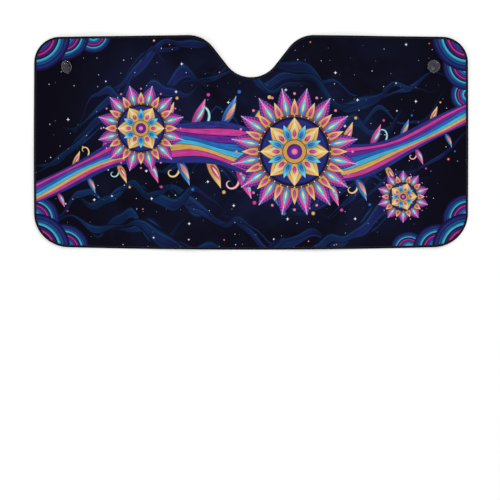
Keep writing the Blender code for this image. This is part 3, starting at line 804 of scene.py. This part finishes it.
def print_material():
    """Inks printed on cloth, each shape shaded along its length and edged with a dark line."""
    made, tree, shader = new_material("printed_cloth", roughness=0.82, specular_ior_level=0.02)
    place = object_place(tree)
    x, y, _ = parts_of(place)
    kind = attribute(tree, "kind")
    centre_x, centre_y, angle = parts_of(attribute(tree, "place", "Vector"))
    length, width, curl = parts_of(attribute(tree, "span", "Vector"))
    level = attribute(tree, "flow")

    away_x, away_y = x - centre_x, y - centre_y
    cos, sin = angle.cos(), angle.sin()
    along = (away_x * cos + away_y * sin) / length
    across = (away_y * cos - away_x * sin) - curl * along * along
    half = ((along.clip() ** BLADE_POWER) * math.pi).sin() * width * 0.5 + THINNEST
    blade_edge = across.abs() / half
    aside = (across / width).abs()
    rib = aside.ramp(0.035, 0.012)
    veins = ((along * 9.0 - aside * 5.0).fract() - 0.5).abs().ramp(0.10, 0.03)

    radial = (away_x * away_x + away_y * away_y).apply("SQRT") / length
    rings = ((radial * 4.0).fract() - 0.5).abs().ramp(0.09, 0.03)

    band_edge = (level.fract() * 2.0 - 1.0).abs()
    strokes = noise(joined(x * 6.0, level * 1.4), 3.0, detail=4.0, roughness=0.6)

    is_plain, is_disc, is_blade, is_band = [kind.is_near(sort) for sort in (PLAIN, DISC, BLADE, BAND)]
    mottle = noise(place, 38.0, detail=3.0, roughness=0.6)
    tone = is_blade * along + is_disc * (radial * -0.7 + 0.95) + is_band * (strokes * 1.5 - 0.25)
    tone = (tone + (mottle - 0.5) * 0.5 + is_plain * 0.8).clip()
    position = attribute(tree, "ink")
    bright = palette(position, 1)
    colour = mix(tone, palette(position, 0), bright)
    lines = is_blade * rib.apply("MAXIMUM", veins * 0.45) * 0.6
    colour = mix(lines, colour, mix(tone, bright, VEIN_TINT))
    colour = mix(is_disc * rings * 0.35, colour, bright)
    edge = is_blade * blade_edge.ramp(0.80, 0.93) + is_disc * radial.ramp(0.90, 0.97)
    edge = edge + is_band * band_edge.ramp(0.80, 0.95)
    colour = mix(edge * 0.85, colour, OUTLINE_INK)

    is_ground = position.apply("LESS_THAN", 1 / len(INK_NAMES))
    set_inputs(shader, base_color=mix(is_ground, colour, night_sky(place, x, y)))
    bump(shader, weave(x, y, WEAVE_PITCH) + mottle * 0.3, *PRINT_RELIEF)
    return made


def foil_material():
    """Crinkled silver foil laminated to the back."""
    made, tree, shader = new_material("silver_foil", metallic=1.0)
    place = object_place(tree)
    crinkle = noise(place, 55.0, detail=5.0, roughness=0.65, distortion=0.8)
    broad = noise(place, 9.0, detail=3.0)
    x, y, _ = parts_of(place)
    set_inputs(shader, base_color=mix(broad.ramp(0.3, 0.7), *FOIL_SHADES), roughness=crinkle * 0.22 + 0.18)
    bump(shader, crinkle + broad * 2.0 + weave(x, y, FOIL_PITCH) * 0.15, *FOIL_RELIEF)
    return made


def tape_material():
    """Black ribbed polyester tape, deep black on its fold, with a painted highlight where it lies flat."""
    made, tree, shader = new_material("woven_tape", roughness=0.72, specular_ior_level=0.03)
    along, across, inward = parts_of(attribute(tree, "tape", "Vector"))
    ribs = (along * (math.tau / TAPE_RIB_PITCH)).sin() * 0.5 + 0.5
    ends = (across * (math.tau / TAPE_YARN_PITCH)).sin() * 0.5 + 0.5
    wear = noise(object_place(tree), 60.0, detail=3.0)
    yarn = ribs * ends * 0.7 + wear * 0.3
    # the tape is paler where it lies flat: a painted highlight
    colour = mix(inward.ramp(0.44, 0.64), mix(yarn, *TAPE_FOLD_SHADES), mix(yarn, *TAPE_FLAT_PAINTED_HIGHLIGHT))
    set_inputs(shader, base_color=colour)
    bump(shader, ribs * 0.7 + ends * 0.3, *TAPE_RELIEF)
    return made


def thread_material():
    """Black polyester thread with a soft shine."""
    made, tree, shader = new_material("black_thread", roughness=0.5, specular_ior_level=0.25)
    twist = noise(object_place(tree), 900.0, detail=1.0)
    set_inputs(shader, base_color=mix(twist, *THREAD_SHADES))
    return made


def vinyl_material():
    """Clear soft vinyl, with painted shade where the neck is and a painted highlight at the rim."""
    made, tree, shader = new_material("soft_clear_vinyl", ior=1.38, transmission_weight=0.85)
    cloud = noise(object_place(tree), 90.0)
    reach = attribute(tree, "reach")
    # painted highlight at the rim
    colour = mix(reach.ramp(0.76, 0.96), mix(cloud, *VINYL_SHADES), VINYL_RIM_PAINTED_HIGHLIGHT)
    # painted shade at the neck
    colour = mix(reach.ramp(0.30, 0.12), colour, VINYL_NECK_PAINTED_SHADE)
    set_inputs(shader, base_color=colour, roughness=cloud * 0.08 + 0.12)
    return made


# Pieces

def add_object(name, data):
    """Puts a mesh, a lamp or a camera in the scene."""
    made = bpy.data.objects.new(name, data)
    bpy.context.scene.collection.objects.link(made)
    return made


def add_piece(name, mesh, materials, body, slot, *nodes, crease=SHARP_EDGE):
    """Shades a mesh and puts it in the scene, where it rides on a body and stands for CAD nodes."""
    mesh.shade_smooth()
    mesh.set_sharp_from_angle(angle=crease)
    for material in materials:
        mesh.materials.append(material)
    piece = add_object(name, mesh)
    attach(piece, body)
    if nodes:
        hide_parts(*nodes)
    return piece


def grid_points(ring):
    """Points that let the sheet bend, clear of its edge and of its holes."""
    columns = math.ceil(SHADE_WIDTH / 2 / GRID_STEP)
    rows = math.ceil(SHADE_HEIGHT / 2 / GRID_STEP)
    xs, ys = np.meshgrid(np.arange(-columns, columns + 1), np.arange(-rows, rows + 1))
    points = np.stack([xs.ravel(), ys.ravel()], axis=1) * GRID_STEP
    keep = is_inside(ring, points) & (distance_in(ring, points) > GRID_STEP / 3)
    for cup_x, cup_y in CUP_PLACES.values():
        keep &= np.hypot(points[:, 0] - cup_x, points[:, 1] - cup_y) > GRID_STEP
    return points[keep]


def is_inside(line, points):
    """Which points are inside a closed line."""
    inside = np.zeros(len(points), dtype=bool)
    x, y = points.T
    for (ax, ay), (bx, by) in zip(line, np.roll(line, -1, axis=0)):
        if ay != by:
            inside ^= ((ay > y) != (by > y)) & (x < ax + (bx - ax) * (y - ay) / (by - ay))
    return inside


def plan(outside, shapes):
    """The sheet from above: points, triangles, and the number of each one's shape, or -1 for none."""
    edge = inset(outside, TAPE_THICKNESS + FIT_GAP)
    creases = [inset(outside, TAPE_WIDTH + FIT_GAP + PUFF_WIDTH * share) for share in PUFF_CREASES]
    hole_radius = NECK_RADIUS + NECK_GAP
    holes = [disc("midnight", *place, hole_radius, HOLE_SEGMENTS)[2] for place in CUP_PLACES.values()]
    points, lines, areas = [], [], []
    for closed in [edge.tolist(), *holes, *[shape[2] for shape in shapes]]:
        areas.append(list(range(len(points), len(points) + len(closed))))
        points += closed
    for crease in creases:
        run = list(range(len(points), len(points) + len(crease)))
        lines += zip(run, run[1:] + run[:1])
        points += crease.tolist()
    points += grid_points(creases[-1]).tolist()
    laid = delaunay_2d_cdt([Vector(p) for p in points], lines, areas, 1, MERGE_DISTANCE)
    triangles, owners = [], []
    first_shape = 1 + len(holes)
    for corners, over in zip(laid[2], laid[5]):
        if 0 in over and not any(0 < owner < first_shape for owner in over):
            triangles.append(corners)
            owners.append(max(over) - first_shape if max(over) >= first_shape else -1)
    return laid[0], triangles, owners


def store(mesh, name, domain, values):
    """Keeps numbers or vectors on a mesh's first points, corners or faces; the rest stay at nought."""
    values = np.array(values, dtype=np.float32)
    kind, setting = ("FLOAT", "value") if values.ndim == 1 else ("FLOAT_VECTOR", "vector")
    layer = mesh.attributes.new(name, kind, domain)
    full = np.zeros((len(layer.data), *values.shape[1:]), dtype=np.float32)
    full[: len(values)] = values
    layer.data.foreach_set(setting, full.ravel())


def make_sheet(outside):
    """The laminated sheet: printed face up, foil behind, punched for the cups' necks."""
    shapes = artwork()
    places, triangles, owners = plan(outside, shapes)
    used = sorted({corner for triangle in triangles for corner in triangle})
    number = {corner: i for i, corner in enumerate(used)}
    flat = np.array([places[i] for i in used])
    below, above = sheet_heights(flat, distance_in(outside, flat))
    points = np.vstack([np.column_stack([flat, above]), np.column_stack([flat, below])])
    tops = [tuple(number[i] for i in t) for t in triangles]
    bottoms = [tuple(i + len(used) for i in reversed(t)) for t in tops]
    sides = {(a, b) for t in tops for a, b in zip(t, t[1:] + t[:1])}
    walls = [(a, a + len(used), b + len(used), b) for a, b in sides if (b, a) not in sides]
    mesh = bpy.data.meshes.new("printed_sheet")
    mesh.from_pydata(points.tolist(), [], tops + bottoms + walls)
    mesh.polygons.foreach_set("material_index", [0] * len(tops) + [1] * len(bottoms + walls))
    ground = ("midnight", PLAIN, (), *NO_AXES)
    inks, kinds, _, spots, spans = zip(*[shapes[owner] if owner >= 0 else ground for owner in owners])
    store(mesh, "ink", "FACE", [(INK_NAMES.index(ink) + 0.5) / len(INK_NAMES) for ink in inks])
    store(mesh, "kind", "FACE", kinds)
    store(mesh, "place", "FACE", spots)
    store(mesh, "span", "FACE", spans)
    smoke = np.zeros((3 * len(tops), 3))
    for i, (corners, kind, spot) in enumerate(zip(tops, kinds, spots)):
        if kind == SMOKE:
            x, y = flat[list(corners)].T
            along, height, half = strand_lines(spot[0], x)
            across = (y - height) / (half + THINNEST / 2)
            smoke[3 * i : 3 * i + 3] = np.column_stack([along, across, np.ones(3)])
    store(mesh, "smoke", "CORNER", smoke)
    store(mesh, "flow", "POINT", (river_level(*points[:, :2].T) + 0.5) * len(RIVER_BANDS))
    materials = [print_material(), foil_material()]
    return add_piece("printed_sheet", mesh, materials, "shade", "printed_laminate", "shade_sheet")


def tape_section(pinch):
    """The folded tape's closed section, from its lower edge, as (distance in from the outline, height)."""
    half = TAPE_HALF_HEIGHT
    inner = half - TAPE_THICKNESS
    fold = [(half - half * math.cos(turn), half * math.sin(turn)) for turn in TAPE_FOLD_TURNS]
    face = []
    for share in TAPE_CREASES:
        distance = half + (TAPE_WIDTH - half) * share
        sink = pinch * math.exp(-(((distance - THREAD_FROM_EDGE) / STITCH_PINCH_WIDTH) ** 2))
        face.append((distance, half - sink))
    face.append((TAPE_WIDTH, half - TAPE_THICKNESS * TAPE_EDGE_BEVEL))
    lining = [(TAPE_WIDTH, inner), (TAPE_THICKNESS, inner)]

    def mirrored(points):
        return [(distance, -height) for distance, height in reversed(points)]

    return mirrored(face) + fold + face + lining + mirrored(lining)


def run_lengths(line):
    """Distance along a closed line to each of its points, and its whole length."""
    steps = np.linalg.norm(np.roll(line, -1, axis=0) - line, axis=1)
    return np.concatenate([[0], np.cumsum(steps)[:-1]]), steps.sum()


def resampled(line, step, multiple=1):
    """A closed line with points evenly about a step apart, their count a multiple of a number."""
    starts, whole = run_lengths(line)
    count = round(whole / step / multiple) * multiple
    at = np.arange(count) * whole / count
    closed = np.vstack([line, line[:1]])
    marks = np.append(starts, whole)
    return np.stack([np.interp(at, marks, closed[:, axis]) for axis in (0, 1)], axis=1)


def tube_faces(rings, count, start=0):
    """Faces between closed rings of points, ring 0 of which begins at the start point."""
    bands = [(start + a * count, start + b * count) for a, b in zip(rings, rings[1:])]
    sides = [(i, (i + 1) % count) for i in range(count)]
    return [(a + i, a + j, b + j, b + i) for a, b in bands for i, j in sides]


def make_tape(outside):
    """The tape, folded over the sheet's edge all the way round and drawn in by its stitches."""
    line = resampled(outside, STITCH_PITCH / 2, 2)
    _, inward = directions(line)
    along, _ = run_lengths(line)
    sections = [tape_section(STITCH_SINK * depth) for depth in (1, 2)]
    width = np.cumsum([0] + [math.dist(a, b) for a, b in zip(sections[0], sections[0][1:])])
    points, marks = [], []
    for j in range(len(sections[0])):
        deep = np.array([sections[i % 2][j] for i in range(len(line))])
        flat = line + inward * deep[:, :1]
        height = lift(*flat.T) + TAPE_HALF_HEIGHT + deep[:, 1]
        points.append(np.column_stack([flat, height]))
        marks.append(np.column_stack([along, np.full(len(line), width[j]), deep[:, 0] / TAPE_WIDTH]))
    mesh = bpy.data.meshes.new("folded_tape")
    mesh.from_pydata(np.vstack(points).tolist(), [], tube_faces([*range(len(points)), 0], len(line)))
    store(mesh, "tape", "POINT", np.vstack(marks))
    return add_piece("folded_tape", mesh, [tape_material()], "shade", "binding_tape", "edge_binding")


def make_stitches(name, outside, side, material):
    """A row of stitches on one side of the tape; side is 1 for the face and -1 for the back."""
    line = resampled(inset(outside, THREAD_FROM_EDGE), STITCH_PITCH)
    points, faces = [], []
    for place, ahead, aside in zip(line, *directions(line)):
        start = len(points)
        for share in STITCH_RINGS:
            middle = place + ahead * share * STITCH_LENGTH / 2
            dive = THREAD_RADIUS * (1 - STITCH_DIVE * abs(share) ** 3)
            rise = TAPE_HALF_HEIGHT - STITCH_SINK * STITCH_BED + dive
            height = lift(*middle) + TAPE_HALF_HEIGHT + side * rise
            size = THREAD_RADIUS * (THREAD_END_SHARE if abs(share) == 1.0 else 1.0)
            for turn in [math.tau * corner / THREAD_SIDES for corner in range(THREAD_SIDES)]:
                points.append((*(middle + aside * size * math.cos(turn)), height + size * math.sin(turn)))
        faces += tube_faces(range(len(STITCH_RINGS)), THREAD_SIDES, start)
        faces.append(tuple(reversed(range(start, start + THREAD_SIDES))))
        faces.append(tuple(range(len(points) - THREAD_SIDES, len(points))))
    mesh = bpy.data.meshes.new(name)
    mesh.from_pydata(points, [], faces)
    return add_piece(name, mesh, [material], "shade", "binding_tape", crease=math.pi)


# Suction cups

def cap(radius, depth, height, start=0.0):
    """Profile points of a spherical cap, from a start radius out to its rim."""
    sphere = (radius**2 + depth**2) / (2 * depth)
    radii = [start + (radius - start) * i / BELL_STEPS for i in range(BELL_STEPS + 1)]
    return [(r, height + sphere - math.sqrt(sphere**2 - r**2)) for r in radii]


def cup_profile():
    """Half section of a cup, as (radius, height), from its foot up to the middle of its hollow."""
    crown = NECK_THROUGH + NECK_FREE_LENGTH
    rim = crown + BELL_DEPTH
    rounding = HEAD_THICKNESS / 4
    fine = RIM_THICKNESS / 4
    head = [
        *[(HEAD_FOOT_RADIUS * share, 0) for share in (0, 0.5, 1)],
        (HEAD_RADIUS - 2 * rounding, rounding * 0.35),
        (HEAD_RADIUS - rounding * 0.6, rounding),
        (HEAD_RADIUS, 2 * rounding),
        (HEAD_RADIUS - rounding * 0.3, HEAD_THICKNESS - rounding * 0.6),
        (HEAD_RADIUS - rounding, HEAD_THICKNESS),
    ]
    neck = [(NECK_RADIUS + fine, HEAD_THICKNESS), (NECK_RADIUS, HEAD_THICKNESS + fine)]
    neck += [(NECK_RADIUS, NECK_THROUGH + NECK_FREE_LENGTH * i / NECK_STEPS) for i in range(NECK_STEPS)]
    back = cap(BELL_RADIUS, BACK_DEPTH, crown, NECK_RADIUS)
    edge = [(BELL_RADIUS, rim - RIM_THICKNESS + fine), (BELL_RADIUS, rim - fine)]
    edge += [(BELL_RADIUS - fine, rim), (BELL_RADIUS - RIM_LAND / 2, rim)]
    hollow = cap(BELL_RADIUS - RIM_LAND, CAVITY_DEPTH, rim - CAVITY_DEPTH)
    return head + neck + back + edge + hollow[::-1]


def lean_angle():
    """How far a cup leans until the back of its bell is a fit gap above the sheet."""
    half_neck = NECK_FREE_LENGTH / 2
    belly = (BELL_RADIUS**2 + BACK_DEPTH**2) / (2 * BACK_DEPTH)
    arm = BACK_DEPTH + half_neck
    on_belly = math.acos((belly - half_neck) / (belly + half_neck))
    on_rim = math.atan2(arm, BELL_RADIUS) + math.asin(half_neck / math.hypot(arm, BELL_RADIUS))
    return min(on_belly, on_rim)


def tip_over(mesh, towards):
    """Bends a cup's free neck, so that its bell leans over."""
    pivot = Vector((0, 0, NECK_THROUGH + NECK_FREE_LENGTH / 2))
    axis = Vector((-math.sin(towards), math.cos(towards), 0))
    for vertex in mesh.verts:
        share = min(max((vertex.co.z - NECK_THROUGH) / NECK_FREE_LENGTH, 0), 1)
        turn = Matrix.Rotation(lean_angle() * share, 3, axis)
        vertex.co = pivot + turn @ (vertex.co - pivot)


def pull_tab(mesh, angle):
    """Draws part of the rim's edge out into a rounded tab for a fingernail."""
    for vertex in mesh.verts:
        x, y, _ = vertex.co
        radius = math.hypot(x, y)
        aside = (math.atan2(y, x) - angle + math.pi) % math.tau - math.pi
        share = (abs(aside) / TAB_HALF_TURN - TAB_FULL_SHARE) / TAB_FADE_SHARE
        if share < 1 and radius > BELL_RADIUS - RIM_THICKNESS / 2:
            reach = TAB_LENGTH * (1 - float(smooth(share)))
            vertex.co.x += reach * math.cos(angle)
            vertex.co.y += reach * math.sin(angle)


def make_cup(name, body, node, material, tab_angle, leans_to=None):
    """A suction cup, turned about its neck, with a tab on its rim."""
    mesh = bmesh.new()
    profile = [mesh.verts.new((radius, 0, height)) for radius, height in cup_profile()]
    edges = [mesh.edges.new(pair) for pair in zip(profile, profile[1:])]
    bmesh.ops.spin(mesh, geom=profile + edges, axis=(0, 0, 1), angle=math.tau, steps=CUP_SEGMENTS)
    bmesh.ops.remove_doubles(mesh, verts=mesh.verts, dist=MERGE_DISTANCE)
    reach = mesh.verts.layers.float.new("reach")
    for vertex in mesh.verts:
        vertex[reach] = math.hypot(vertex.co.x, vertex.co.y) / BELL_RADIUS
    pull_tab(mesh, tab_angle)
    if leans_to is not None:
        tip_over(mesh, leans_to)
    bmesh.ops.recalc_face_normals(mesh, faces=mesh.faces)
    x, y = CUP_PLACES[body]
    bmesh.ops.translate(mesh, verts=mesh.verts, vec=(x, y, 0))
    data = bpy.data.meshes.new(name)
    mesh.to_mesh(data)
    mesh.free()
    return add_piece(name, data, [material], body, "clear_vinyl", node)


# Studio

def seen_by_eye(tree):
    """1 for what the camera sees, also in a reflection or refraction, and 0 for other light."""
    path = new_node(tree, "LightPath")
    seen = Field(path.outputs["Is Camera Ray"])
    for ray in ("Is Glossy Ray", "Is Transmission Ray"):
        seen = seen.apply("MAXIMUM", Field(path.outputs[ray]))
    return seen


def make_floor():
    """A plain floor that looks white and keeps the shade's soft shadow."""
    made, tree, shader = new_material("white_floor", roughness=1.0, specular_ior_level=0.0)
    set_inputs(shader, base_color=FLOOR_COLOUR, emission_color=(1, 1, 1))
    set_inputs(shader, emission_strength=seen_by_eye(tree) * FLOOR_GLOW)
    mesh = bpy.data.meshes.new("floor")
    corners = [(-FLOOR_REACH, -FLOOR_REACH), (FLOOR_REACH, -FLOOR_REACH)]
    corners += [(-x, -y) for x, y in corners]
    mesh.from_pydata([(x, y, -FLOOR_DROP) for x, y in corners], [], [(0, 1, 2, 3)])
    mesh.materials.append(made)
    add_object("floor", mesh)


def make_world():
    """Even light from all round, seen as white."""
    world = bpy.data.worlds.new("studio")
    bpy.context.scene.world = world
    world.use_nodes = True
    strength = seen_by_eye(world.node_tree) * (1 - WORLD_LEVEL) + WORLD_LEVEL
    set_inputs(world.node_tree.nodes["Background"], color=(1, 1, 1), strength=strength)


def make_lamp(name, place, size, watts):
    """A soft round lamp, turned to the middle of the floor."""
    data = bpy.data.lights.new(name, "AREA")
    data.shape = "DISK"
    data.size = size
    data.energy = watts
    lamp = add_object(name, data)
    lamp.location = place
    lamp.rotation_euler = (-Vector(place)).to_track_quat("-Z", "Y").to_euler()


def make_camera():
    """Looks straight down, with the shade in the upper half of the frame."""
    data = bpy.data.cameras.new("camera")
    data.lens = data.sensor_width * CAMERA_PLACE[2] / FRAME_WIDTH
    camera = add_object("camera", data)
    camera.location = CAMERA_PLACE
    bpy.context.scene.camera = camera


def flat_area(line):
    """Area inside a closed line."""
    following = np.roll(line, -1, axis=0)
    return float(abs((line[:, 0] * following[:, 1] - line[:, 1] * following[:, 0]).sum()) / 2)


def main():
    """Builds the pieces and the studio."""
    make_camera()
    make_world()
    make_floor()
    for lamp in LAMPS:
        make_lamp(*lamp)
    outside = outline()
    thread = thread_material()
    vinyl = vinyl_material()
    sheet = make_sheet(outside)
    tape = make_tape(outside)
    threads = [make_stitches(name, outside, side, thread) for name, side in STITCH_ROWS]
    make_cup("vinyl_cup_left", "left_cup", "suction_cup_left", vinyl, LEFT_TAB_ANGLE, LEFT_CUP_LEANS_TO)
    make_cup("vinyl_cup_right", "right_cup", "suction_cup_right", vinyl, RIGHT_TAB_ANGLE)
    area = flat_area(inset(outside, TAPE_THICKNESS + FIT_GAP))
    bpy.context.scene.view_settings.view_transform = "Standard"


main()
